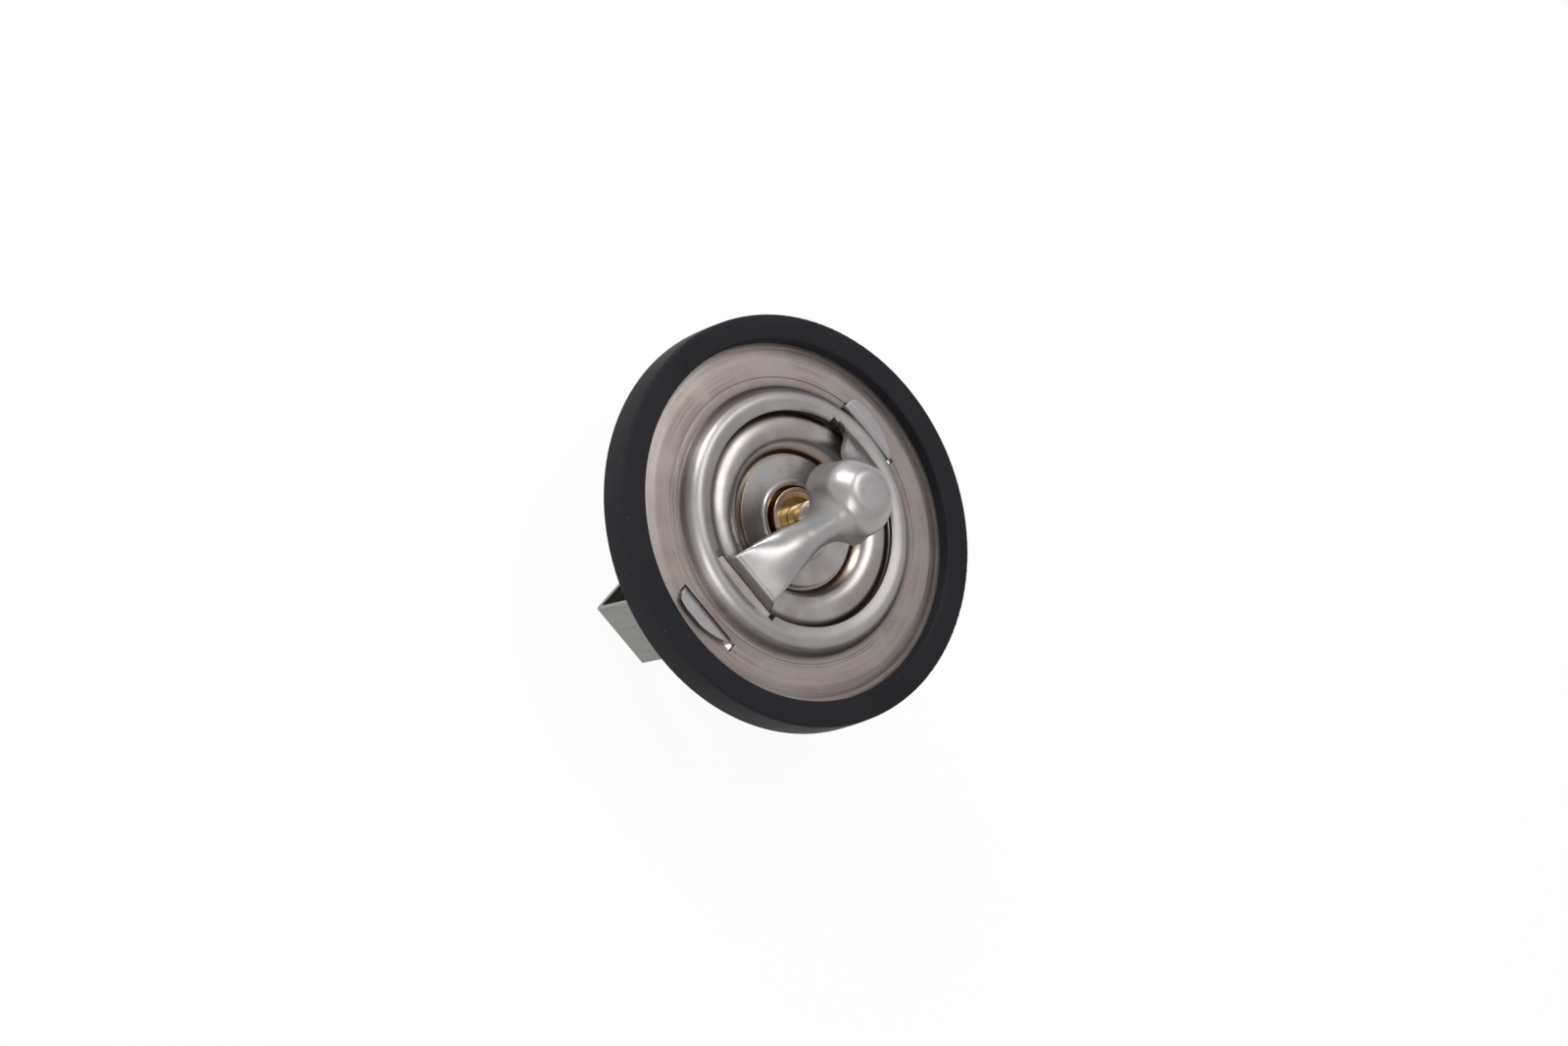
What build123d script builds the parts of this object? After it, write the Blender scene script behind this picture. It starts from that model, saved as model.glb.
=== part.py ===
from build123d import *
import math
import os

# Engine thermostat. Millimetres, +Z up along its axis, origin on the axis level with the stirrup's underside.
# The bridge runs along X. "Top" is the upper face of a sheet, "mid" the middle of its thickness.

# ---- driving dimensions -------------------------------------------------------------------------
sheet = 1.0                                # flange, bridge and stirrup sheet
disc_sheet = 0.9                           # valve disc sheet
running_gap = 0.05                         # radial gap of a sliding fit

# rubber seal
seal_top = 30.0                            # height of the seal's front face
seal_depth = 5.5
seal_radius = 32.25
seal_lean = 0.1                            # the wall leans in by this much at the front face
seal_wall = 3.1                            # straight part of the outer wall
seal_face_width = 3.65
seal_bite = 2.4                            # how far the flange reaches into the seal
seal_edge = 0.4                            # rounding of the seal's edges

# flange and bead
flange_drop = 2.15                         # seal's front face down to the gripped rim of the flange
annulus_rise = 0.45                        # the flange's inner ring stands this much proud of its rim
annulus_margin = 3.0                       # seal's mouth to the edge of the inner ring
annulus_step_width = 1.6
annulus_width = 4.7                        # flat ring outside the bead
bead_rise = 2.75                           # bead's crest above the flange's inner ring
bead_flank_width = 1.6                     # foot of the bead to its crest
bead_lip_width = 2.3                       # crest of the bead to the edge of the opening
opening_fall = 0.55                        # the opening's edge lies this much under the crest
groove_inset = 1.5                         # drawing groove, outside the bead
groove_width = 0.5
groove_depth = 0.15

# bridge
foot_inset = 0.4                           # opening's edge to the foot of the step
foot_half_width = 5.9
foot_rise = 0.4                            # the shelf's inner end above the opening's edge
step_run = 1.1
step_rise = 1.9                            # the crease above the opening's edge
crease_half_width = 4.5
arm_angle = 47.0
arm_shoulder = 2.4                         # along X from the crease, still nearly flat
shoulder_half_width = 4.2
arm_waist = 4.8                            # along X from the crease, well arched
waist_half_width = 3.4
neck_reach = 2.6                           # along X from the dome's wall, fully arched
neck_half_width = 2.65
neck_crown = 1.5                           # how far the arm's edges lie under its middle at the neck
dome_radius = 4.7
dome_above_arm = 4.5                       # where the arm's crest meets the dome, up to its top
dome_below_arm = 3.75                      # and down to its skirt
dome_flare = 0.65                          # the skirt is this much wider in radius than the dome
flare_height = 2.6
dome_edge = 2.3
arm_blend = 1.6

# valve disc, seated just under the opening's edge
hub_drop = 2.05                            # seal's front face down to the disc's hub
hub_radius = 5.4
disc_lap = 1.2                             # the disc reaches this far under the opening's edge
disc_rim_width = 4.2                       # outer edge of the disc to the crest of its round rim
crown_rise = 0.35                          # seal's front face up to that crest
disc_skirt = 2.6                           # crest of the rim down to its outer edge
disc_slope_width = 3.0                     # crest of the rim in to the foot of its inner slope
inner_arc_radius = 3.0                     # round of the rim, inside and outside its crest
outer_arc_radius = 4.6
inner_arc_angle = 70
outer_arc_angle = 45

# retaining washer
washer_margin = 0.8                        # foot of the disc's inner slope to the washer
washer_thickness = 0.9
washer_lip_width = 1.0                     # raised lip round the washer's hole
washer_lip_height = 0.3

# wax element
neck_radius = 4.9
piston_radius = 2.25
rim_width = 0.8                            # round rim of the guide's mouth
rim_slope = 0.4
rim_recess = 0.5
neck_length = 1.95
shoulder_radius = 6.6
guide_flange_top = 14.0
guide_ledge = 0.3                          # the guide's flange stands out from its shoulder
guide_flange_depth = 2.0
chamber_height = 2.5                       # cone under the guide that the diaphragm's boss fills
chamber_radius = 4.5
boss_gap = 0.1
cup_wall = 0.6
cup_floor = 0.9
cup_lift = 0.3                             # the cup's end lies this much inside the stirrup's underside
cup_lip = 0.6
diaphragm_thickness = 1.2
plug_length = 2.9
plug_disc_thickness = 0.6

# stirrup
strap_half_width = 5.5
strap_shift_x = -1.2                       # the strap sits this much off the axis
strap_shift_y = 0.7
leg_inset = 3.05                           # edge of the flange's inner ring to the middle of the leg
leg_splay = 4.3                            # a leg's middle leans in by this much towards the bottom
tab_length = 2.3
strap_bend = 1.4
tab_bend = 0.8
seat_margin = 2.6                          # round spring seat, outside the spring
collar_height = 2.5
collar_wall = 0.7
slot_clearance = 0.15
slot_overrun = 0.8                         # the slot is longer than the strap at one end

# spring
spring_clearance = 0.35                    # collar to the spring's end coil
wire_diameter = 2.0
active_turns = 4

# ---- radii and heights worked out from them -----------------------------------------------------
seal_front_radius = seal_radius - seal_lean
seal_mouth_radius = seal_radius - seal_face_width
flange_radius = seal_mouth_radius + seal_bite
annulus_radius = seal_mouth_radius - annulus_margin
bead_base_radius = annulus_radius - annulus_width
bead_crest_radius = bead_base_radius - bead_flank_width
opening_radius = bead_crest_radius - bead_lip_width
groove_radius = bead_base_radius + groove_inset
seal_bottom = seal_top - seal_depth
flange_mid = seal_top - flange_drop - sheet / 2
annulus_mid = flange_mid + annulus_rise
annulus_top = annulus_mid + sheet / 2
bead_mid = annulus_mid + bead_rise
rim_mid = bead_mid - opening_fall
foot_chord = opening_radius - foot_inset
crease_chord = foot_chord - step_run
crease_mid = rim_mid + step_rise
crease_top = crease_mid + sheet / 2
arm_slope = math.tan(math.radians(arm_angle))
dome_joint = crease_top + (crease_chord - dome_radius) * arm_slope
dome_top = dome_joint + dome_above_arm
dome_skirt = dome_joint - dome_below_arm
dome_bore = dome_radius - sheet
disc_radius = opening_radius + disc_lap
crown_radius = disc_radius - disc_rim_width
valley_radius = crown_radius - disc_slope_width
hub_top = seal_top - hub_drop
hub_bottom = hub_top - disc_sheet
crown_top = seal_top + crown_rise
washer_radius = valley_radius - washer_margin
element_top = seal_top
guide_bottom = guide_flange_top - guide_flange_depth
guide_flange_radius = shoulder_radius + guide_ledge
cup_radius = guide_flange_radius + cup_wall
guide_hole_radius = cup_radius + running_gap
spring_radius = guide_hole_radius + collar_wall + spring_clearance + wire_diameter / 2
seat_radius = spring_radius + wire_diameter / 2 + seat_margin
leg_at_flange = annulus_radius - leg_inset
bottom_half_length = leg_at_flange - leg_splay
tab_reach = leg_at_flange + tab_length
leg_slope = leg_splay / annulus_top
leg_at_slot = leg_at_flange - leg_slope * sheet
slot_width = sheet + 2 * slot_clearance + 2 * leg_slope * sheet
os.makedirs("parts", exist_ok=True)


def finish(piece, name):
    piece.part.label = name
    export_step(piece.part, f"parts/{name}.step")


# ---- rubber seal: a U section gripping the flange -----------------------------------------------
with BuildPart() as rubber_seal:
    with BuildSketch(Plane.XZ) as seal_section:
        with BuildLine():
            Polyline(
                (seal_mouth_radius, seal_bottom),
                (seal_radius, seal_bottom),
                (seal_radius, seal_bottom + seal_wall),
                (seal_front_radius, seal_top),
                (seal_mouth_radius, seal_top),
                close=True,
            )
        make_face()
        fillet(seal_section.vertices().sort_by(Axis.Y)[-2:], radius=seal_edge)
        fillet(seal_section.vertices().sort_by(Axis.Y)[:2], radius=seal_edge)
        with Locations((seal_mouth_radius, flange_mid)):
            Rectangle(2 * seal_bite, sheet, mode=Mode.SUBTRACT)
    revolve(axis=Axis.Z)
finish(rubber_seal, "rubber_seal")

# ---- flange and bridge: one stamping ------------------------------------------------------------
def arm_plane(distance):
    """Crosswise plane of the +X arm, square to its slope, with its origin on the arm's crest."""
    height = crease_top + (crease_chord - distance) * arm_slope
    return Plane(origin=(distance, 0, height), x_dir=(0, -1, 0), z_dir=(-1, 0, arm_slope))


def arch_radius(half_width, crown):
    return (half_width**2 + crown**2) / (2 * crown)


def arch_slice(distance, half_width, crown, inset, depth):
    """Slice under the arm's arched top, inset from it all round, open to a depth below its crest."""
    outer = arch_radius(half_width, crown)
    inner = outer - inset
    half = half_width * inner / outer
    drop = outer - math.sqrt(inner**2 - half**2)
    with BuildSketch(arm_plane(distance)) as arm_section:
        with BuildLine():
            ThreePointArc((-half, -drop), (0, -inset), (half, -drop))
            Polyline((half, -drop), (half, -depth), (-half, -depth), (-half, -drop))
        make_face()
    return arm_section.sketch


def ledge_slice(distance, half_width, crown, margin, depth):
    """Slice of all that lies deeper than the edges of the arm's sheet, wider by a margin."""
    outer = arch_radius(half_width, crown)
    edge_drop = outer - (outer - sheet) * math.sqrt(1 - (half_width / outer) ** 2)
    with BuildSketch(arm_plane(distance)) as ledge_section:
        with Locations((0, -(edge_drop + depth) / 2)):
            Rectangle(2 * (half_width + margin), depth - edge_drop)
    return ledge_section.sketch


sheet_overlap = 0.6 * sheet                # how far one folded stretch runs into the next
foot_start = crease_chord - 0.3 * sheet
neck_x = dome_radius + neck_reach
form_depth = neck_crown + 3 * sheet
arm_stations = [
    (foot_start, crease_half_width, 0.03 * neck_crown),
    (crease_chord - arm_shoulder, shoulder_half_width, 0.15 * neck_crown),
    (crease_chord - arm_waist, waist_half_width, 0.55 * neck_crown),
    (neck_x, neck_half_width, neck_crown),
    (0.75 * dome_bore, neck_half_width, neck_crown),
]

# the outside of the bridge as a full form: two arms blended into the dome
with BuildPart() as bridge_outside:
    outer_arm = loft([arch_slice(*station, 0, form_depth) for station in arm_stations])
    mirror(outer_arm, about=Plane.YZ)
    with BuildSketch(Plane.XZ):
        with BuildLine():
            flare = JernArc(
                start=(dome_radius, dome_skirt + flare_height),
                tangent=(0, -1),
                radius=(flare_height**2 + dome_flare**2) / (2 * dome_flare),
                arc_size=2 * math.degrees(math.atan(dome_flare / flare_height)),
            )
            Polyline(flare @ 1, (0, dome_skirt), (0, dome_top), (dome_radius, dome_top), flare @ 0)
        make_face()
    revolve(axis=Axis.Z)
    dome_wall = bridge_outside.faces().filter_by(
        lambda face: face.geom_type in (GeomType.CYLINDER, GeomType.TORUS)
    )
    corners = dome_wall.edges().filter_by(
        lambda edge: edge.geom_type not in (GeomType.LINE, GeomType.CIRCLE)
    )
    fillet(corners, radius=arm_blend)
    fillet(bridge_outside.faces().sort_by(Axis.Z)[-1].edges(), radius=dome_edge)

# the hollow under it, one sheet further in
with BuildPart() as bridge_hollow:
    inner_arm = loft([arch_slice(*station, sheet, form_depth + sheet) for station in arm_stations])
    mirror(inner_arm, about=Plane.YZ)
    with BuildSketch(Plane.XZ):
        with BuildLine():
            inner_flare = JernArc(
                start=(dome_bore, dome_skirt + flare_height),
                tangent=(0, -1),
                radius=(flare_height**2 + dome_flare**2) / (2 * dome_flare),
                arc_size=2 * math.degrees(math.atan(dome_flare / flare_height)),
            )
            Polyline(
                inner_flare @ 1,
                (dome_bore + dome_flare, dome_skirt - form_depth),
                (0, dome_skirt - form_depth),
                (0, dome_top - sheet),
                (dome_bore, dome_top - sheet),
                inner_flare @ 0,
            )
        make_face()
    revolve(axis=Axis.Z)
    fillet(bridge_hollow.faces().sort_by(Axis.Z)[-1].edges(), radius=dome_edge - sheet)

# all that lies under the edges of the arms' sheet, up to the dome's skirt
with BuildPart() as under_arms:
    ledge = loft([ledge_slice(*station, sheet, form_depth + sheet) for station in arm_stations])
    mirror(ledge, about=Plane.YZ)
    split(bisect_by=Plane.XY.offset(dome_skirt), keep=Keep.BOTTOM)

with BuildPart() as flange_bridge:
    # flat rim, raised bead and the edge of the valve opening
    with BuildSketch(Plane.XZ):
        with BuildLine():
            FilletPolyline(
                (flange_radius, flange_mid),
                (annulus_radius + annulus_step_width, flange_mid),
                (annulus_radius, annulus_mid),
                (bead_base_radius, annulus_mid),
                (bead_crest_radius, bead_mid),
                (opening_radius, rim_mid),
                radius=[sheet, sheet, 0.9 * sheet, 1.3 * sheet],
            )
        trace(line_width=sheet)
    revolve(axis=Axis.Z)
    # shelves that carry the feet into the opening, and the step up to each arm
    with BuildSketch(Plane.XZ):
        with BuildLine():
            FilletPolyline(
                (opening_radius + sheet_overlap, rim_mid),
                (foot_chord, rim_mid + foot_rise),
                (crease_chord, crease_mid),
                (crease_chord - sheet_overlap, crease_mid + sheet_overlap * arm_slope),
                radius=[0.55 * sheet, 0.55 * sheet],
            )
        trace(line_width=sheet)
        mirror(about=Plane.YZ)
    extrude(amount=foot_half_width, both=True)
    # each step narrows from its foot to the crease
    with BuildSketch(Plane.XY.offset(rim_mid - sheet)):
        for side in (-1, 1):
            with BuildLine():
                Polyline(
                    (foot_chord, side * foot_half_width),
                    (foot_start, side * crease_half_width),
                    (neck_x, side * crease_half_width),
                    (neck_x, side * (foot_half_width + sheet)),
                    (foot_chord, side * (foot_half_width + sheet)),
                    close=True,
                )
            make_face()
        mirror(about=Plane.YZ)
    extrude(amount=step_rise + 3 * sheet, mode=Mode.SUBTRACT)
    # arms and dome
    add(bridge_outside.part)
    add(bridge_hollow.part, mode=Mode.SUBTRACT)
    add(under_arms.part, mode=Mode.SUBTRACT)
    # slots for the stirrup's legs, a little longer than the strap at the -Y end
    with BuildSketch(Plane.XY.offset(annulus_mid)):
        with Locations(
            (strap_shift_x - leg_at_slot, strap_shift_y - slot_overrun / 2),
            (strap_shift_x + leg_at_slot, strap_shift_y - slot_overrun / 2),
        ):
            Rectangle(slot_width, 2 * (strap_half_width + slot_clearance) + slot_overrun)
    extrude(amount=1.4 * sheet, both=True, mode=Mode.SUBTRACT)
    # drawing groove round the bead
    with BuildSketch(Plane.XZ):
        with Locations((groove_radius, annulus_top)):
            Rectangle(groove_width, 2 * groove_depth)
    revolve(axis=Axis.Z, mode=Mode.SUBTRACT)
finish(flange_bridge, "flange_bridge")

# ---- stirrup: one folded strap ------------------------------------------------------------------
strap_bottom_mid = sheet / 2
tab_mid = annulus_top + sheet / 2
strap_profile_plane = Plane(origin=(strap_shift_x, strap_shift_y, 0), x_dir=(1, 0, 0), z_dir=(0, -1, 0))

with BuildPart() as stirrup:
    with BuildSketch(strap_profile_plane):
        with BuildLine():
            FilletPolyline(
                (-tab_reach, tab_mid),
                (-leg_at_flange, tab_mid),
                (-bottom_half_length, strap_bottom_mid),
                (bottom_half_length, strap_bottom_mid),
                (leg_at_flange, tab_mid),
                (tab_reach, tab_mid),
                radius=[tab_bend, strap_bend, strap_bend, tab_bend],
            )
        trace(line_width=sheet)
    extrude(amount=strap_half_width, both=True)
    # the tabs are blunt at one end and run to a point at the other
    with BuildSketch(Plane(origin=(strap_shift_x, strap_shift_y, annulus_top - sheet))):
        with BuildLine():
            leaf = ThreePointArc(
                (leg_at_flange, -strap_half_width),
                (tab_reach, 0),
                (tab_reach - 0.4 * sheet, strap_half_width - 0.6 * sheet),
            )
            Polyline(
                leaf @ 1,
                (leg_at_flange + sheet, strap_half_width),
                (tab_reach + sheet, strap_half_width),
                (tab_reach + sheet, -strap_half_width),
                leaf @ 0,
            )
        make_face()
        mirror(about=Plane.YZ)
    extrude(amount=3 * sheet, mode=Mode.SUBTRACT)
    # round spring seat with a drawn collar that guides the wax cup
    with BuildSketch(Plane.XY):
        Circle(seat_radius)
    extrude(amount=sheet)
    with BuildSketch(Plane.XY):
        Circle(guide_hole_radius + collar_wall)
    extrude(amount=sheet + collar_height)
    with BuildSketch(Plane.XY):
        Circle(guide_hole_radius)
    extrude(amount=sheet + collar_height, mode=Mode.SUBTRACT)
    hole_rims = stirrup.edges().filter_by(GeomType.CIRCLE).filter_by(
        lambda edge: abs(edge.radius - guide_hole_radius) < 0.01
    )
    fillet(hole_rims, radius=0.4 * collar_wall)
finish(stirrup, "stirrup")

# ---- valve disc: a pressing with a round rim that seats under the opening -----------------------
hub_mid = hub_top - disc_sheet / 2
crown_mid = crown_top - disc_sheet / 2

with BuildPart() as valve_disc:
    with BuildSketch(Plane.XZ) as disc_section:
        with BuildLine():
            inside = CenterArc((crown_radius, crown_mid - inner_arc_radius), inner_arc_radius, 90, inner_arc_angle)
            outside = CenterArc((crown_radius, crown_mid - outer_arc_radius), outer_arc_radius, 90, -outer_arc_angle)
            Line(inside @ 1, (valley_radius, hub_mid))
            Line((valley_radius, hub_mid), (hub_radius, hub_mid))
            Line(outside @ 1, (disc_radius, crown_mid - disc_skirt))
        trace(line_width=disc_sheet)
    revolve(axis=Axis.Z)
finish(valve_disc, "valve_disc")

# ---- retaining washer ---------------------------------------------------------------------------
with BuildPart() as retaining_washer:
    with BuildSketch(Plane.XY.offset(hub_top)):
        Circle(washer_radius)
    extrude(amount=washer_thickness)
    with BuildSketch(Plane.XY.offset(hub_top)):
        Circle(hub_radius + washer_lip_width)
    extrude(amount=washer_thickness + washer_lip_height)
    with BuildSketch(Plane.XY.offset(hub_top)):
        Circle(hub_radius)
    extrude(amount=washer_thickness + washer_lip_height, mode=Mode.SUBTRACT)
    lip = retaining_washer.faces().sort_by(Axis.Z)[-1]
    fillet(lip.outer_wire().edges(), radius=0.8 * washer_lip_height)
    lip = retaining_washer.faces().sort_by(Axis.Z)[-1]
    fillet(lip.inner_wires()[0].edges(), radius=0.35 * washer_lip_width)
finish(retaining_washer, "retaining_washer")

# ---- wax element: guide, piston, plug, plug disc, diaphragm, cup and wax ------------------------
bore_radius = piston_radius + running_gap
neck_foot = element_top - neck_length
chamber_top = guide_bottom + chamber_height
with BuildPart() as guide:
    with BuildSketch(Plane.XZ) as guide_section:
        with BuildLine():
            Polyline(
                (bore_radius, guide_bottom),
                (guide_flange_radius, guide_bottom),
                (guide_flange_radius, guide_flange_top),
                (shoulder_radius, guide_flange_top),
                (shoulder_radius, hub_bottom),
                (hub_radius, hub_bottom),
                (hub_radius, neck_foot),
                (neck_radius, neck_foot),
                (neck_radius, element_top),
                (bore_radius, element_top),
                close=True,
            )
        make_face()
    revolve(axis=Axis.Z)
    # dished mouth with a round rim
    with BuildSketch(Plane.XZ):
        with BuildLine():
            Polyline(
                (0, element_top),
                (neck_radius - rim_width, element_top),
                (neck_radius - rim_width - rim_slope, element_top - rim_recess),
                (0, element_top - rim_recess),
                close=True,
            )
        make_face()
    revolve(axis=Axis.Z, mode=Mode.SUBTRACT)
    # cone that the diaphragm's boss fills
    with BuildSketch(Plane.XZ):
        with BuildLine():
            Polyline(
                (0, guide_bottom),
                (chamber_radius, guide_bottom),
                (bore_radius, chamber_top),
                (0, chamber_top),
                close=True,
            )
        make_face()
    revolve(axis=Axis.Z, mode=Mode.SUBTRACT)
finish(guide, "guide")

plug_bottom = chamber_top
plug_top = plug_bottom + plug_length
piston_seat = plug_top + plug_disc_thickness
dome_seat = dome_top - sheet
with BuildPart() as piston:
    with BuildSketch(Plane.XY.offset(piston_seat)):
        Circle(piston_radius)
    extrude(amount=dome_seat - piston_seat)
    chamfer(piston.edges().filter_by(GeomType.CIRCLE), length=0.3)
finish(piston, "piston")

with BuildPart() as antifriction_disc:
    with BuildSketch(Plane.XY.offset(plug_top)):
        Circle(piston_radius)
    extrude(amount=plug_disc_thickness)
finish(antifriction_disc, "antifriction_disc")

with BuildPart() as rubber_plug:
    with BuildSketch(Plane.XY.offset(plug_bottom)):
        Circle(piston_radius)
    extrude(amount=plug_length)
finish(rubber_plug, "rubber_plug")

diaphragm_bottom = guide_bottom - diaphragm_thickness
with BuildPart() as diaphragm:
    with BuildSketch(Plane.XZ):
        with BuildLine():
            Polyline(
                (0, diaphragm_bottom),
                (guide_flange_radius, diaphragm_bottom),
                (guide_flange_radius, guide_bottom),
                (chamber_radius - boss_gap, guide_bottom),
                (bore_radius - boss_gap, chamber_top - boss_gap),
                (0, chamber_top - boss_gap),
                close=True,
            )
        make_face()
    revolve(axis=Axis.Z)
finish(diaphragm, "diaphragm")

wax_radius = guide_flange_radius - cup_wall
with BuildPart() as wax_cup:
    with BuildSketch(Plane.XZ) as cup_section:
        with BuildLine():
            Polyline(
                (0, cup_lift),
                (cup_radius, cup_lift),
                (cup_radius, guide_flange_top + cup_lip),
                (shoulder_radius, guide_flange_top + cup_lip),
                (shoulder_radius, guide_flange_top),
                (guide_flange_radius, guide_flange_top),
                (guide_flange_radius, diaphragm_bottom),
                (wax_radius, diaphragm_bottom),
                (wax_radius, cup_lift + cup_floor),
                (0, cup_lift + cup_floor),
                close=True,
            )
        make_face()
        outer_corners = cup_section.vertices().filter_by(lambda vertex: vertex.X > cup_radius - 0.01)
        fillet(outer_corners.sort_by(Axis.Y)[0], radius=cup_floor)
        fillet(cup_section.vertices().group_by(Axis.Y)[-1].sort_by(Axis.X)[-1], radius=0.8 * cup_lip)
    revolve(axis=Axis.Z)
finish(wax_cup, "wax_cup")

with BuildPart() as wax_charge:
    with BuildSketch(Plane.XY.offset(cup_lift + cup_floor)):
        Circle(wax_radius)
    extrude(amount=diaphragm_bottom - cup_lift - cup_floor)
finish(wax_charge, "wax_charge")

# ---- main spring: closed ends, ground flat ------------------------------------------------------
spring_foot = sheet
spring_head = hub_bottom
active_pitch = (spring_head - spring_foot - 2 * wire_diameter) / active_turns
with BuildPart() as main_spring:
    with BuildLine() as coils:
        foot_coil = Helix(wire_diameter, wire_diameter, spring_radius, center=(0, 0, spring_foot))
        Helix(
            active_pitch,
            active_pitch * active_turns,
            spring_radius,
            center=(0, 0, spring_foot + wire_diameter),
        )
        Helix(wire_diameter, wire_diameter, spring_radius, center=(0, 0, spring_head - wire_diameter))
    with BuildSketch(Plane(origin=foot_coil @ 0, z_dir=foot_coil % 0)):
        Circle(wire_diameter / 2)
    sweep(path=coils.wires()[0], is_frenet=True)
    split(bisect_by=Plane.XY.offset(spring_foot), keep=Keep.TOP)
    split(bisect_by=Plane.XY.offset(spring_head), keep=Keep.BOTTOM)
finish(main_spring, "main_spring")
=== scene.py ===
import math

import bpy
from mathutils import Matrix, Vector

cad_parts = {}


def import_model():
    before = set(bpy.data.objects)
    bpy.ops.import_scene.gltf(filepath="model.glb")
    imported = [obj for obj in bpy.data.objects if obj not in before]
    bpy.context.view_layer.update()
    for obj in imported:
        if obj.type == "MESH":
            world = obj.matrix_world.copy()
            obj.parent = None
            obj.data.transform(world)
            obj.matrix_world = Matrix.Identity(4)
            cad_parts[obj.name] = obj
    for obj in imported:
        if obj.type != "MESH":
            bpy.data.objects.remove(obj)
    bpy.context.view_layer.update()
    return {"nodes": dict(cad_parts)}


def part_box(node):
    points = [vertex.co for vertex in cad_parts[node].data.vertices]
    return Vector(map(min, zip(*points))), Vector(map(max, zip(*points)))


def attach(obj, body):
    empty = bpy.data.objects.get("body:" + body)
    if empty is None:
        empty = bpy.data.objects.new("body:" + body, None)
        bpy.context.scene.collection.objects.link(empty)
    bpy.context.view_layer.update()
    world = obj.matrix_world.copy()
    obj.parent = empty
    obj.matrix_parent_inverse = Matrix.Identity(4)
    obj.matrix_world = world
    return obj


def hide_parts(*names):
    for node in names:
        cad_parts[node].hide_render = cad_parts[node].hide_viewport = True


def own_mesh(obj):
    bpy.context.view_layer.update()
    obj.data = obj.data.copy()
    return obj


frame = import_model()
nodes = frame["nodes"]

MM = 0.001
SEAL_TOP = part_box("rubber_seal")[1][2]
DOME_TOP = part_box("flange_bridge")[1][2]

# bridge above its steps; a pair gives where an effect is nought and where it is full
PARTING = SEAL_TOP + 1.35 * MM            # height where the bridge is parted from the flange
MERGE_REACH = 0.001 * MM                  # loose corners of triangles this close are one
CREASE_ANGLE = math.radians(35)           # sharper edges than this are shaded as edges
CREASE_X = 15.5 * MM                      # an arm rises from here
CREASE_HALF_WIDTH = 4.5 * MM
NECK_X = 7.3 * MM                         # narrowest and most arched place of an arm
NECK_HALF_WIDTH = 2.65 * MM
DOME_RADIUS = 4.7 * MM
BRIDGE_VOXEL = 0.20 * MM

ON_ARM = (DOME_RADIUS + 0.1 * MM, DOME_RADIUS + 1.2 * MM)     # by radius
AT_WALL = (DOME_RADIUS - 1.3 * MM, DOME_RADIUS - 0.1 * MM)    # by radius
EXTRA_ARCH = 1.1 * MM                     # the neck's edges are drawn down by this much more
ARCH_ALONG = (0.15, 0.75)                 # by share of the way from the crease to the neck
ARCH_LIMIT = 1.3                          # most that counts beyond the arm's plain edge
ARM_FILL = 3.0 * MM                       # its crest rises by up to this much under the dome
FILL_OUT = (CREASE_X - 5.7 * MM, DOME_RADIUS)
FILL_FADE = (DOME_TOP - 5.4 * MM, DOME_TOP - 0.3 * MM)        # by height, full to nought
NECK_WIDENING = 1.08                      # the drawn neck is this many times as wide as the plain one
WIDENING_ALONG = (0.2, 0.9)
ARM_SPREAD = 0.42                         # the arm widens by this share where it runs into the dome
SPREAD_HEIGHT = (DOME_TOP - 1.0 * MM, DOME_TOP - 3.5 * MM)
SPREAD_OUT = (NECK_X, DOME_RADIUS - 1.0 * MM)
DOME_SWELL = 0.25 * MM                    # the dome's wall stands out by this much at its foot
SWELL_HEIGHT = (DOME_TOP - 1.0 * MM, DOME_TOP - 7.0 * MM)
SWELL_WITHIN = DOME_RADIUS + 0.9 * MM
SKIRT_FROM = 4.9 * MM                     # the dome's skirt beyond here
SKIRT_SHARE = 0.62                        # keeps this share of its reach

FREE_OUT = (CREASE_X - 0.6 * MM, CREASE_X - 2.2 * MM)         # eased everywhere inside the creases
FREE_PASSES = 24
CORNER_INSIDE = (DOME_RADIUS - 1.6 * MM, DOME_RADIUS - 0.6 * MM)
CORNER_OUTSIDE = (DOME_RADIUS + 3.5 * MM, DOME_RADIUS + 1.5 * MM)
CORNER_HEIGHT = (DOME_TOP - 0.8 * MM, DOME_TOP - 1.8 * MM)
ROOT_RADIUS = (DOME_RADIUS - 0.9 * MM, DOME_RADIUS)           # the dome's wall beside the arms
ROOT_HEIGHT = (DOME_TOP - 8.0 * MM, DOME_TOP - 7.0 * MM)
ROOT_SHARE = 0.6
CORNER_PASSES = 150

# seal
FLANGE_TOP = 27.85 * MM                   # the rim's face under the lip
LIP_MARGIN = 0.01 * MM                    # takes in the corners that lie in that face
LIP_RADII = (31.0 * MM, 29.0 * MM)        # where the lip starts to move and where it moves fully
LIP_REACH = 0.5 * MM                      # the front lip lies this much further in over the rim


# ---- node helpers ------------------------------------------------------------------------------
def new_material(name):
    material = bpy.data.materials.new(name)
    material.use_nodes = True
    material.node_tree.nodes.clear()
    return material, material.node_tree


def add(tree, kind, **settings):
    node = tree.nodes.new(kind)
    for key, value in settings.items():
        setattr(node, key, value)
    return node


def put(tree, value, socket):
    """Link an output to a socket, or set the socket to a number or colour."""
    if isinstance(value, bpy.types.NodeSocket):
        tree.links.new(value, socket)
    else:
        socket.default_value = value


def maths(tree, operation, first, second=None):
    node = add(tree, "ShaderNodeMath", operation=operation)
    put(tree, first, node.inputs[0])
    if second is not None:
        put(tree, second, node.inputs[1])
    return node.outputs[0]


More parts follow.
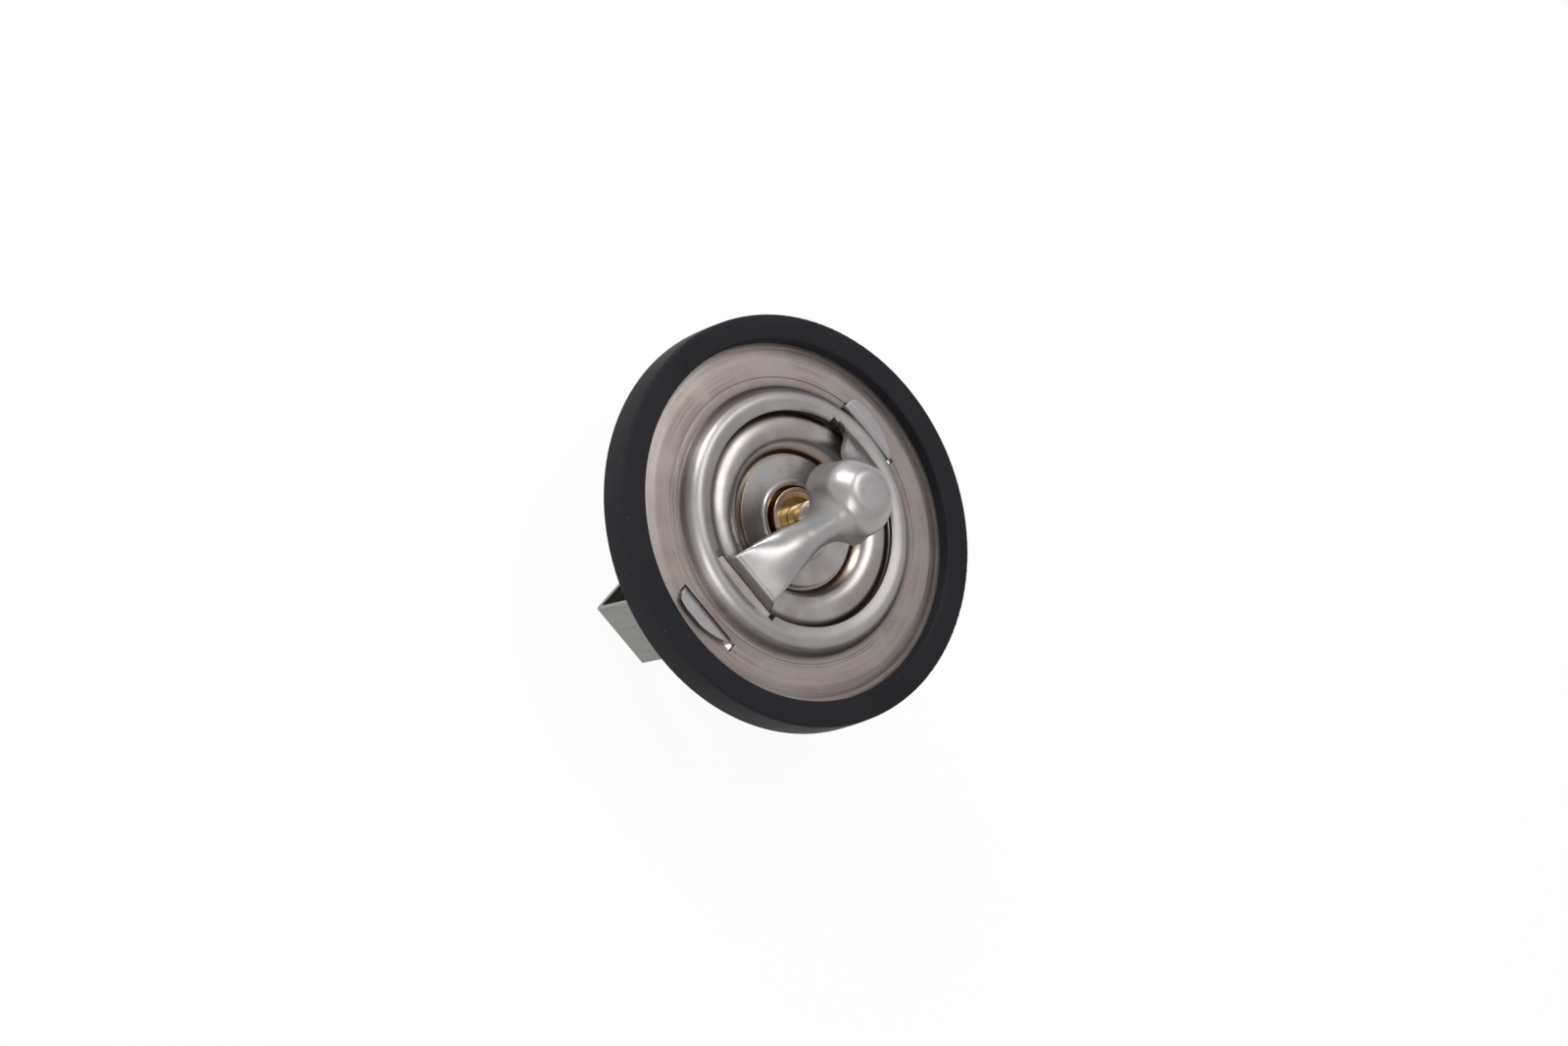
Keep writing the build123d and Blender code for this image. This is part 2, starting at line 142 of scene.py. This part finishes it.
def ramp(tree, value, low, high, start=0.0, end=1.0):
    """Smooth step of a value from low to high."""
    node = add(tree, "ShaderNodeMapRange", interpolation_type="SMOOTHSTEP")
    put(tree, value, node.inputs["Value"])
    node.inputs["From Min"].default_value = low
    node.inputs["From Max"].default_value = high
    node.inputs["To Min"].default_value = start
    node.inputs["To Max"].default_value = end
    return node.outputs["Result"]


def band(tree, value, middle, half_width):
    """One in the middle of a band, fading to nought at its edges."""
    away = maths(tree, "ABSOLUTE", maths(tree, "SUBTRACT", value, middle))
    return ramp(tree, away, 0.0, half_width, 1.0, 0.0)


def blend_colour(tree, share, first, second):
    node = add(tree, "ShaderNodeMix", data_type="RGBA")
    put(tree, share, node.inputs[0])
    for value, socket in ((first, node.inputs[6]), (second, node.inputs[7])):
        if isinstance(value, tuple):
            value = (*value, 1.0)
        put(tree, value, socket)
    return node.outputs[2]


def noise(tree, vector, scale, detail=3.0, roughness=0.55):
    node = add(tree, "ShaderNodeTexNoise")
    put(tree, vector, node.inputs["Vector"])
    node.inputs["Scale"].default_value = scale
    node.inputs["Detail"].default_value = detail
    node.inputs["Roughness"].default_value = roughness
    return node.outputs["Fac"]


def object_place(tree):
    return add(tree, "ShaderNodeTexCoord").outputs["Object"]


def round_place(tree, place):
    """Radius and height in millimetres, and turn in radians, about the thermostat's axis."""
    split = add(tree, "ShaderNodeSeparateXYZ")
    put(tree, place, split.inputs[0])
    across = maths(tree, "POWER", split.outputs["X"], 2.0)
    along = maths(tree, "POWER", split.outputs["Y"], 2.0)
    radius = maths(tree, "MULTIPLY", maths(tree, "SQRT", maths(tree, "ADD", across, along)), 1 / MM)
    height = maths(tree, "MULTIPLY", split.outputs["Z"], 1 / MM)
    turn = maths(tree, "ARCTAN2", split.outputs["Y"], split.outputs["X"])
    return radius, height, turn


def vector(tree, x, y, z):
    node = add(tree, "ShaderNodeCombineXYZ")
    for value, socket in zip((x, y, z), node.inputs):
        put(tree, value, socket)
    return node.outputs[0]


def turning_marks(tree, radius, turn, fineness, sweep):
    """Noise drawn out round the axis, as a lathe or a spinning brush leaves it."""
    round_x = maths(tree, "MULTIPLY", maths(tree, "COSINE", turn), sweep)
    round_y = maths(tree, "MULTIPLY", maths(tree, "SINE", turn), sweep)
    rings = maths(tree, "MULTIPLY", radius, fineness)
    return noise(tree, vector(tree, round_x, round_y, rings), 1.0, 4.0, 0.6)


def bump(tree, height, distance, strength, under=None):
    node = add(tree, "ShaderNodeBump")
    node.inputs["Strength"].default_value = strength
    node.inputs["Distance"].default_value = distance
    put(tree, height, node.inputs["Height"])
    if under is not None:
        put(tree, under, node.inputs["Normal"])
    return node.outputs["Normal"]


def soft_edges(tree, radius):
    node = add(tree, "ShaderNodeBevel", samples=6)
    node.inputs["Radius"].default_value = radius
    return node.outputs["Normal"]


def principled(tree, colour, roughness, normal=None, **constants):
    shader = add(tree, "ShaderNodeBsdfPrincipled")
    put(tree, (*colour, 1.0) if isinstance(colour, tuple) else colour, shader.inputs["Base Color"])
    put(tree, roughness, shader.inputs["Roughness"])
    if normal is not None:
        put(tree, normal, shader.inputs["Normal"])
    for name, value in constants.items():
        shader.inputs[name.replace("_", " ")].default_value = value
    output = add(tree, "ShaderNodeOutputMaterial")
    put(tree, shader.outputs[0], output.inputs["Surface"])


def wear(piece, material):
    piece.data.materials.clear()
    piece.data.materials.append(material)


# ---- bridge and flange as pressed --------------------------------------------------------------
def smooth_step(value, low, high):
    share = min(1.0, max(0.0, (value - low) / (high - low)))
    return share * share * (3 - 2 * share)


def only(piece):
    if bpy.context.mode != "OBJECT":
        bpy.ops.object.mode_set(mode="OBJECT")
    bpy.ops.object.select_all(action="DESELECT")
    piece.select_set(True)
    bpy.context.view_layer.objects.active = piece


def merged_copy(node, name):
    """Copy of a solid with its loose triangles merged, left in edit mode."""
    piece = nodes[node].copy()
    piece.data = nodes[node].data.copy()
    piece.name = piece.data.name = name
    bpy.context.scene.collection.objects.link(piece)
    only(piece)
    bpy.ops.object.mode_set(mode="EDIT")
    bpy.ops.mesh.select_all(action="SELECT")
    bpy.ops.mesh.remove_doubles(threshold=MERGE_REACH)
    return piece


def shade_by_creases():
    bpy.ops.object.mode_set(mode="OBJECT")
    bpy.ops.mesh.customdata_custom_splitnormals_clear()
    bpy.ops.object.shade_smooth_by_angle(angle=CREASE_ANGLE)


def stamping_part(name, keep_above):
    """The flange's stamping, parted level at the steps, with the upper or the lower share kept."""
    piece = merged_copy("flange_bridge", name)
    bpy.ops.mesh.select_all(action="SELECT")
    bpy.ops.mesh.bisect(
        plane_co=(0, 0, PARTING), plane_no=(0, 0, 1), use_fill=True,
        clear_inner=keep_above, clear_outer=not keep_above,
    )
    shade_by_creases()
    return piece


def draw_arms(piece):
    """Deepen the arch of the arms and swell their ends into the dome, as the press draws them."""
    for vertex in piece.data.vertices:
        out = abs(vertex.co.x)
        radius = math.hypot(vertex.co.x, vertex.co.y)
        height = vertex.co.z
        along = (CREASE_X - out) / (CREASE_X - NECK_X)
        narrowing = min(1.0, max(0.0, along)) * (NECK_HALF_WIDTH - CREASE_HALF_WIDTH)
        share_across = (vertex.co.y / (CREASE_HALF_WIDTH + narrowing)) ** 2
        on_arm = smooth_step(radius, *ON_ARM)
        at_wall = smooth_step(radius, *AT_WALL)
        arch = EXTRA_ARCH * smooth_step(along, *ARCH_ALONG) * on_arm
        vertex.co.z -= arch * min(ARCH_LIMIT, share_across)
        fill = ARM_FILL * max(0.0, 1 - share_across) * at_wall * smooth_step(out, *FILL_OUT)
        vertex.co.z += fill * (1 - smooth_step(height, *FILL_FADE))
        vertex.co.y *= 1 + (NECK_WIDENING - 1) * on_arm * smooth_step(along, *WIDENING_ALONG)
        low = smooth_step(height, *SPREAD_HEIGHT)
        vertex.co.y *= 1 + ARM_SPREAD * at_wall * low * smooth_step(out, *SPREAD_OUT)
        if radius < SWELL_WITHIN:
            swell = DOME_SWELL * smooth_step(height, *SWELL_HEIGHT) / max(radius, MM)
            vertex.co.x *= 1 + swell
            vertex.co.y *= 1 + swell
        skirt = abs(vertex.co.y) - SKIRT_FROM
        if skirt > 0 and out < DOME_RADIUS:
            vertex.co.y = math.copysign(SKIRT_FROM + SKIRT_SHARE * skirt, vertex.co.y)


def relax(piece, name, times, where):
    """Ease the surface where a vertex group says, as metal flows in the press."""
    modifier = piece.modifiers.new(name, "SMOOTH")
    modifier.factor = 0.5
    modifier.iterations = times
    modifier.vertex_group = where.name
    bpy.ops.object.modifier_apply(modifier=name)


def pressed_bridge():
    """The upper share with an even net, drawn deeper and with its radii eased."""
    piece = stamping_part("pressed_bridge", True)
    remesh = piece.modifiers.new("even_net", "REMESH")
    remesh.mode = "VOXEL"
    remesh.voxel_size = BRIDGE_VOXEL
    remesh.use_smooth_shade = True
    bpy.ops.object.modifier_apply(modifier=remesh.name)
    draw_arms(piece)
    free = piece.vertex_groups.new(name="free")
    corner = piece.vertex_groups.new(name="corner")
    for vertex in piece.data.vertices:
        out = abs(vertex.co.x)
        radius = math.hypot(vertex.co.x, vertex.co.y)
        height = vertex.co.z
        free.add([vertex.index], smooth_step(out, *FREE_OUT), "REPLACE")
        near = smooth_step(out, *CORNER_INSIDE) * smooth_step(out, *CORNER_OUTSIDE)
        root = smooth_step(radius, *ROOT_RADIUS) * ROOT_SHARE * smooth_step(height, *ROOT_HEIGHT)
        corner.add([vertex.index], max(near, root) * smooth_step(height, *CORNER_HEIGHT), "REPLACE")
    relax(piece, "drawn_radii", FREE_PASSES, free)
    relax(piece, "drawn_corner", CORNER_PASSES, corner)
    bpy.ops.object.shade_smooth()
    return piece


def pressed_flange():
    return stamping_part("pressed_flange", False)


def moulded_seal():
    """The seal with its front lip a little further in over the flange's rim."""
    piece = merged_copy("rubber_seal", "moulded_seal")
    shade_by_creases()
    for vertex in piece.data.vertices:
        radius = math.hypot(vertex.co.x, vertex.co.y)
        if vertex.co.z < FLANGE_TOP - LIP_MARGIN:
            continue
        share = 1 - LIP_REACH * smooth_step(radius, *LIP_RADII) / radius
        vertex.co.x *= share
        vertex.co.y *= share
    return piece


def coil_spring():
    """Copy of the spring, merged and shaded by its creases."""
    piece = merged_copy("main_spring", "coil_spring")
    shade_by_creases()
    return piece


def settle(piece, body, slot, *replaced):
    """Let a finished piece ride on its body in place of the solids it stands for."""
    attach(piece, body)
    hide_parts(*replaced)


# ---- finishes ----------------------------------------------------------------------------------
STEEL_WARM = (0.300, 0.262, 0.246)
STEEL_DULL = (0.225, 0.190, 0.172)
STEEL_COOL = (0.325, 0.316, 0.318)
STEEL_BRIGHT = (0.375, 0.360, 0.350)
# painted warm reflection, laid in the disc's valley beside the washer
PAINTED_WARM_REFLECTION = (0.235, 0.165, 0.105)
# painted shade: dark colour laid where shade falls, at the bead's foot, on the steps, on the far foot
# and at the disc's outer edge
PAINTED_SHADE = (0.060, 0.047, 0.040)
STRAP_DARK = (0.185, 0.180, 0.165)
STRAP_PALE = (0.265, 0.260, 0.240)
BRASS_DEEP = (0.38, 0.225, 0.085)
BRASS_PALE = (0.54, 0.35, 0.155)
# painted highlight: pale, reddish colour on the guide's top rim
BRASS_RIM_HIGHLIGHT = (0.62, 0.45, 0.36)
BRASS_SHADE = (0.085, 0.040, 0.015)
PIN_DARK = (0.50, 0.49, 0.48)
PIN_PALE = (0.62, 0.61, 0.60)
WIRE_DARK = (0.19, 0.18, 0.175)
WIRE_PALE = (0.33, 0.32, 0.31)
RUBBER_DARK = (0.0085, 0.0090, 0.0115)
RUBBER_PALE = (0.0135, 0.0138, 0.0165)
DUST = (0.11, 0.11, 0.115)

# places on the pieces, in millimetres; a pair gives where a finish is nought and where it is full
DRAWN_HEIGHT = (31.2, 33.0)
BEAD_OUTSIDE = (21.6, 20.2)
BEAD_INSIDE = (16.6, 17.6)
GROOVE_RADIUS = 20.9
GROOVE_HALF_WIDTH = 1.3
GROOVE_HEIGHT = (30.4, 29.0)
STEP_HEIGHT = (31.25, 31.45)
STEP_OUT = (15.35, 15.65)
FAR_FOOT_X = (0.0115, 0.0140)             # this pair is in metres
FAR_FOOT_RADIUS = (17.6, 16.9)
REFLECTION_RADIUS = 11.0
REFLECTION_HALF_WIDTH = 1.3
DISC_EDGE = (15.4, 16.2)
TAB_LIGHT_HEIGHT = (27.5, 28.8)
MOUTH_HEIGHT = (29.4, 29.8)
MOUTH_RADIUS = (3.9, 4.3)
BELOW_MOUTH = (28.9, 28.3)
PARTING_LINE = 27.4
PARTING_HALF_WIDTH = 0.18


def pressed_stainless():
    """Flange and bridge: brushed round the rim, polished where drawn, with painted shade at the bead's
    outer foot and on the steps, and a painted shadow on the far foot.
    """
    material, tree = new_material("pressed_stainless")
    place = object_place(tree)
    radius, height, turn = round_place(tree, place)
    rim_marks = turning_marks(tree, radius, turn, 3.2, 1.6)
    fine_marks = turning_marks(tree, radius, turn, 14.0, 3.0)
    cloud = noise(tree, place, 130.0, 3.0)
    grain = noise(tree, place, 2600.0, 2.0)
    drawn = ramp(tree, height, *DRAWN_HEIGHT)
    crest = maths(tree, "MULTIPLY", ramp(tree, radius, *BEAD_OUTSIDE), ramp(tree, radius, *BEAD_INSIDE))
    polished = maths(tree, "MAXIMUM", drawn, maths(tree, "MULTIPLY", crest, 0.7))
    warm = blend_colour(tree, ramp(tree, rim_marks, 0.34, 0.66), STEEL_DULL, STEEL_WARM)
    warm = blend_colour(tree, ramp(tree, cloud, 0.42, 0.66), warm, STEEL_WARM)
    cool = blend_colour(tree, ramp(tree, cloud, 0.35, 0.65), STEEL_COOL, STEEL_BRIGHT)
    colour = blend_colour(tree, polished, warm, cool)
    # painted shade and dark reflection in a ring at the bead's outer foot
    valley = band(tree, radius, GROOVE_RADIUS, GROOVE_HALF_WIDTH)
    groove_shade = maths(tree, "MULTIPLY", valley, ramp(tree, height, *GROOVE_HEIGHT))
    colour = blend_colour(tree, maths(tree, "MULTIPLY", groove_shade, 0.75), colour, PAINTED_SHADE)
    split = add(tree, "ShaderNodeSeparateXYZ")
    put(tree, place, split.inputs[0])
    out = maths(tree, "MULTIPLY", maths(tree, "ABSOLUTE", split.outputs["X"]), 1 / MM)
    # painted shade on the steps up to the arms, and a painted shadow of the dome on the far foot
    step_shade = maths(tree, "MULTIPLY", ramp(tree, height, *STEP_HEIGHT), ramp(tree, out, *STEP_OUT))
    far_side = ramp(tree, split.outputs["X"], *FAR_FOOT_X)
    far_foot_shadow = maths(tree, "MULTIPLY", far_side, ramp(tree, radius, *FAR_FOOT_RADIUS))
    step_shade = maths(tree, "MULTIPLY", step_shade, 0.85)
    far_foot_shadow = maths(tree, "MULTIPLY", far_foot_shadow, 0.75)
    colour = blend_colour(tree, maths(tree, "MAXIMUM", step_shade, far_foot_shadow), colour, PAINTED_SHADE)
    rough_rim = ramp(tree, fine_marks, 0.3, 0.7, 0.42, 0.52)
    rough_drawn = ramp(tree, cloud, 0.35, 0.7, 0.34, 0.43)
    rough = add(tree, "ShaderNodeMix", data_type="FLOAT")
    put(tree, polished, rough.inputs[0])
    put(tree, rough_rim, rough.inputs[2])
    put(tree, rough_drawn, rough.inputs[3])
    rings = maths(tree, "MULTIPLY", fine_marks, maths(tree, "SUBTRACT", 1.0, polished))
    normal = bump(tree, rings, 0.00006, 0.35, soft_edges(tree, 0.00018))
    dents = noise(tree, place, 420.0, 2.0)
    normal = bump(tree, dents, 0.00012, 0.22, normal)
    normal = bump(tree, grain, 0.00002, 0.25, normal)
    principled(tree, colour, rough.outputs[0], normal, Metallic=1.0)
    return material


def spun_steel():
    """Valve disc and washer: bright pressings, with a painted warm reflection in the valley and painted
    shade at the outer edge.
    """
    material, tree = new_material("spun_steel")
    place = object_place(tree)
    radius, _, turn = round_place(tree, place)
    marks = turning_marks(tree, radius, turn, 12.0, 1.2)
    cloud = noise(tree, place, 170.0, 3.0)
    # painted warm reflection in the valley beside the washer
    valley = band(tree, radius, REFLECTION_RADIUS, REFLECTION_HALF_WIDTH)
    warm_reflection = maths(tree, "MULTIPLY", valley, ramp(tree, cloud, 0.3, 0.6, 0.35, 0.9))
    colour = blend_colour(tree, ramp(tree, cloud, 0.38, 0.62), STEEL_WARM, STEEL_BRIGHT)
    colour = blend_colour(tree, ramp(tree, marks, 0.3, 0.7, 0.0, 0.2), colour, STEEL_COOL)
    colour = blend_colour(tree, warm_reflection, colour, PAINTED_WARM_REFLECTION)
    # painted shade on the disc's outer edge, where it runs in under the rim
    colour = blend_colour(tree, ramp(tree, radius, *DISC_EDGE, 0.0, 0.9), colour, PAINTED_SHADE)
    roughness = ramp(tree, marks, 0.3, 0.7, 0.27, 0.31)
    normal = bump(tree, marks, 0.00002, 0.012, soft_edges(tree, 0.00015))
    normal = bump(tree, noise(tree, place, 500.0, 2.0), 0.0001, 0.10, normal)
    principled(tree, colour, roughness, normal, Metallic=1.0)
    return material


def strap_steel():
    """Stirrup: satin strap with straight rolling marks and small dents, and painted light that makes the
    tabs paler.
    """
    material, tree = new_material("strap_steel")
    place = object_place(tree)
    split = add(tree, "ShaderNodeSeparateXYZ")
    put(tree, place, split.inputs[0])
    along = vector(tree, maths(tree, "MULTIPLY", split.outputs["X"], 60.0),
                   maths(tree, "MULTIPLY", split.outputs["Y"], 2600.0),
                   maths(tree, "MULTIPLY", split.outputs["Z"], 60.0))
    rolling = noise(tree, along, 1.0, 4.0, 0.6)
    cloud = noise(tree, place, 200.0, 3.0)
    colour = blend_colour(tree, ramp(tree, rolling, 0.3, 0.7), STRAP_DARK, STRAP_PALE)
    colour = blend_colour(tree, ramp(tree, cloud, 0.5, 0.75, 0.0, 0.5), colour, STEEL_DULL)
    # painted light: the strap is made paler from the rim's height up, so the tabs look lit like the rim
    tab_light = ramp(tree, maths(tree, "MULTIPLY", split.outputs["Z"], 1 / MM), *TAB_LIGHT_HEIGHT)
    colour = blend_colour(tree, tab_light, colour, STEEL_COOL)
    roughness = ramp(tree, rolling, 0.3, 0.7, 0.30, 0.44)
    normal = bump(tree, rolling, 0.00003, 0.3, soft_edges(tree, 0.0002))
    normal = bump(tree, noise(tree, place, 330.0, 2.0), 0.0002, 0.35, normal)
    principled(tree, colour, roughness, normal, Metallic=1.0)
    return material


def turned_brass():
    """Guide and cup: lathe-turned, with a painted pale, reddish highlight on the top rim and painted
    shade below it.
    """
    material, tree = new_material("turned_brass")
    place = object_place(tree)
    radius, height, turn = round_place(tree, place)
    marks = turning_marks(tree, maths(tree, "ADD", radius, height), turn, 9.0, 1.5)
    cloud = noise(tree, place, 260.0, 3.0)
    colour = blend_colour(tree, ramp(tree, cloud, 0.3, 0.7), BRASS_DEEP, BRASS_PALE)
    # painted highlight: a pale, reddish ring on the guide's top rim
    rim_highlight = maths(tree, "MULTIPLY", ramp(tree, height, *MOUTH_HEIGHT), ramp(tree, radius, *MOUTH_RADIUS))
    colour = blend_colour(tree, rim_highlight, colour, BRASS_RIM_HIGHLIGHT)
    colour = blend_colour(tree, ramp(tree, height, *BELOW_MOUTH), colour, BRASS_SHADE)
    roughness = ramp(tree, marks, 0.3, 0.7, 0.20, 0.30)
    normal = bump(tree, marks, 0.00003, 0.15, soft_edges(tree, 0.00015))
    principled(tree, colour, roughness, normal, Metallic=1.0)
    return material


def ground_steel():
    """Piston: ground pin."""
    material, tree = new_material("ground_steel")
    place = object_place(tree)
    _, height, turn = round_place(tree, place)
    marks = turning_marks(tree, height, turn, 12.0, 2.0)
    colour = blend_colour(tree, marks, PIN_DARK, PIN_PALE)
    roughness = ramp(tree, marks, 0.3, 0.7, 0.12, 0.22)
    principled(tree, colour, roughness, bump(tree, marks, 0.00002, 0.3), Metallic=1.0)
    return material


def drawn_wire():
    """Spring: drawn wire with a cloudy scale."""
    material, tree = new_material("drawn_wire")
    place = object_place(tree)
    radius, _, turn = round_place(tree, place)
    marks = turning_marks(tree, radius, turn, 9.0, 0.8)
    scale = noise(tree, place, 700.0, 3.0)
    colour = blend_colour(tree, ramp(tree, scale, 0.3, 0.7), WIRE_DARK, WIRE_PALE)
    roughness = ramp(tree, scale, 0.3, 0.7, 0.26, 0.42)
    normal = bump(tree, marks, 0.00005, 0.4)
    principled(tree, colour, roughness, normal, Metallic=1.0)
    return material


def moulded_rubber():
    """Seal: dull moulded rubber with fine grain, a raised parting line and dusty specks."""
    material, tree = new_material("moulded_rubber")
    place = object_place(tree)
    _, height, _ = round_place(tree, place)
    cloud = noise(tree, place, 90.0, 4.0)
    grain = noise(tree, place, 3800.0, 3.0)
    skin = noise(tree, place, 900.0, 2.0)
    specks = ramp(tree, noise(tree, place, 1500.0, 1.0), 0.74, 0.80)
    colour = blend_colour(tree, ramp(tree, cloud, 0.35, 0.7), RUBBER_DARK, RUBBER_PALE)
    colour = blend_colour(tree, maths(tree, "MULTIPLY", specks, 0.5), colour, DUST)
    roughness = ramp(tree, cloud, 0.3, 0.7, 0.52, 0.68)
    parting = band(tree, height, PARTING_LINE, PARTING_HALF_WIDTH)
    normal = bump(tree, parting, 0.00008, 0.8, soft_edges(tree, 0.00025))
    normal = bump(tree, skin, 0.00006, 0.25, normal)
    normal = bump(tree, grain, 0.00003, 0.5, normal)
    principled(tree, colour, roughness, normal, Specular_IOR_Level=0.14)
    return material


def plain_inner(name, colour, roughness):
    """Finish of a piece sealed inside the element."""
    material, tree = new_material(name)
    place = object_place(tree)
    cloud = noise(tree, place, 400.0, 3.0)
    paler = tuple(min(1.0, 1.25 * channel) for channel in colour)
    shade = blend_colour(tree, ramp(tree, cloud, 0.3, 0.7), colour, paler)
    principled(tree, shade, roughness, bump(tree, cloud, 0.00005, 0.3))
    return material


def dress():
    stainless = pressed_stainless()
    for piece in (pressed_bridge(), pressed_flange()):
        settle(piece, "frame", "stainless", "flange_bridge")
        wear(piece, stainless)
    seal = moulded_seal()
    settle(seal, "frame", "black_rubber", "rubber_seal")
    wear(seal, moulded_rubber())
    spring = coil_spring()
    settle(spring, "frame", "spring_steel", "main_spring")
    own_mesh(spring)
    wear(spring, drawn_wire())
    bright = spun_steel()
    brass = turned_brass()
    inner_rubber = plain_inner("inner_rubber", (0.02, 0.02, 0.02), 0.5)
    for name, finish in (
        ("stirrup", strap_steel()),
        ("valve_disc", bright),
        ("retaining_washer", bright),
        ("piston", ground_steel()),
        ("guide", brass),
        ("wax_cup", brass),
        ("diaphragm", inner_rubber),
        ("rubber_plug", inner_rubber),
        ("wax_charge", plain_inner("wax", (0.45, 0.22, 0.10), 0.45)),
        ("antifriction_disc", plain_inner("white_plastic", (0.75, 0.75, 0.73), 0.35)),
    ):
        wear(nodes[name], finish)


# ---- studio ------------------------------------------------------------------------------------
FLOOR_SIZE = 3.0
FLOOR_PAPER = (0.86, 0.86, 0.86)
FLOOR_GLOW = 0.93                         # share of the glow where the floor is seen or mirrored
SKY_LIGHT = 0.5                           # strength of the world where it only lights
LAMP_REACH = 0.55
LAMPS = (                                 # name, direction from the seal's face, width, height, watts
    ("key", Vector((-0.76, 0.12, 0.60)), 0.22, 0.36, 1.15),
    ("side", Vector((0.22, 0.89, 0.40)), 0.16, 0.22, 1.6),
    ("overhead", Vector((0.40, 0.25, 0.88)), 0.26, 0.32, 0.90),
)


def background_share(tree):
    """One for rays that show the background: straight, mirrored or passed through."""
    path = add(tree, "ShaderNodeLightPath")
    seen = maths(tree, "MAXIMUM", path.outputs["Is Camera Ray"], path.outputs["Is Transmission Ray"])
    return maths(tree, "MAXIMUM", seen, path.outputs["Is Glossy Ray"])


def floor():
    bpy.ops.mesh.primitive_plane_add(size=FLOOR_SIZE)
    plane = bpy.context.object
    plane.name = "floor"
    material, tree = new_material("floor_paper")
    paper = add(tree, "ShaderNodeBsdfDiffuse")
    paper.inputs["Color"].default_value = (*FLOOR_PAPER, 1.0)
    glow = add(tree, "ShaderNodeEmission")
    glow.inputs["Strength"].default_value = 1.0
    mix = add(tree, "ShaderNodeMixShader")
    put(tree, maths(tree, "MULTIPLY", background_share(tree), FLOOR_GLOW), mix.inputs[0])
    put(tree, paper.outputs[0], mix.inputs[1])
    put(tree, glow.outputs[0], mix.inputs[2])
    output = add(tree, "ShaderNodeOutputMaterial")
    put(tree, mix.outputs[0], output.inputs["Surface"])
    plane.data.materials.append(material)


def area_lamp(name, place, target, width, height, watts):
    data = bpy.data.lights.new(name, "AREA")
    data.shape = "RECTANGLE"
    data.size = width
    data.size_y = height
    data.energy = watts
    lamp = bpy.data.objects.new(name, data)
    bpy.context.scene.collection.objects.link(lamp)
    lamp.location = place
    lamp.rotation_euler = (Vector(target) - Vector(place)).to_track_quat("-Z", "Y").to_euler()


def world():
    scene_world = bpy.data.worlds.new("studio")
    bpy.context.scene.world = scene_world
    scene_world.use_nodes = True
    tree = scene_world.node_tree
    tree.nodes.clear()
    seen = maths(tree, "MULTIPLY", background_share(tree), 1.0 - SKY_LIGHT)
    strength = maths(tree, "ADD", seen, SKY_LIGHT)
    sky = add(tree, "ShaderNodeBackground")
    put(tree, strength, sky.inputs["Strength"])
    output = add(tree, "ShaderNodeOutputWorld")
    put(tree, sky.outputs[0], output.inputs["Surface"])


# ---- camera ------------------------------------------------------------------------------------
VIEW_TILT = math.radians(38)              # from straight above
VIEW_HEADING = math.radians(157)          # towards the camera, from +X
VIEW_ROLL = math.radians(20.61)
DISTANCE = 0.64
LENS = 96.75                              # focal length and sensor width in millimetres
SENSOR_WIDTH = 36
SHIFT_RIGHT = -0.00256
SHIFT_UP = -0.00064
CLIP_NEAR = 0.01
CLIP_FAR = 10


def view_axes():
    heading = Vector((math.cos(VIEW_HEADING), math.sin(VIEW_HEADING), 0))
    back = math.sin(VIEW_TILT) * heading + math.cos(VIEW_TILT) * Vector((0, 0, 1))
    away = math.cos(VIEW_TILT) * -heading + math.sin(VIEW_TILT) * Vector((0, 0, 1))
    side = back.cross(away)
    right = math.cos(VIEW_ROLL) * away - math.sin(VIEW_ROLL) * side
    return right, back.cross(right), back


def camera():
    right, up, back = view_axes()
    data = bpy.data.cameras.new("camera")
    data.lens = LENS
    data.sensor_width = SENSOR_WIDTH
    data.clip_start = CLIP_NEAR
    data.clip_end = CLIP_FAR
    data.dof.use_dof = False
    eye = bpy.data.objects.new("camera", data)
    bpy.context.scene.collection.objects.link(eye)
    turn = Matrix((right, up, back)).transposed()
    eye.location = Vector((0, 0, SEAL_TOP)) + DISTANCE * back + SHIFT_RIGHT * right + SHIFT_UP * up
    eye.rotation_mode = "QUATERNION"
    eye.rotation_quaternion = turn.to_quaternion()
    bpy.context.scene.camera = eye


def studio():
    floor()
    world()
    middle = Vector((0, 0, SEAL_TOP))
    for name, direction, width, height, watts in LAMPS:
        area_lamp(name, middle + LAMP_REACH * direction.normalized(), middle, width, height, watts)
    bpy.context.scene.view_settings.view_transform = "Standard"


dress()
studio()
camera()
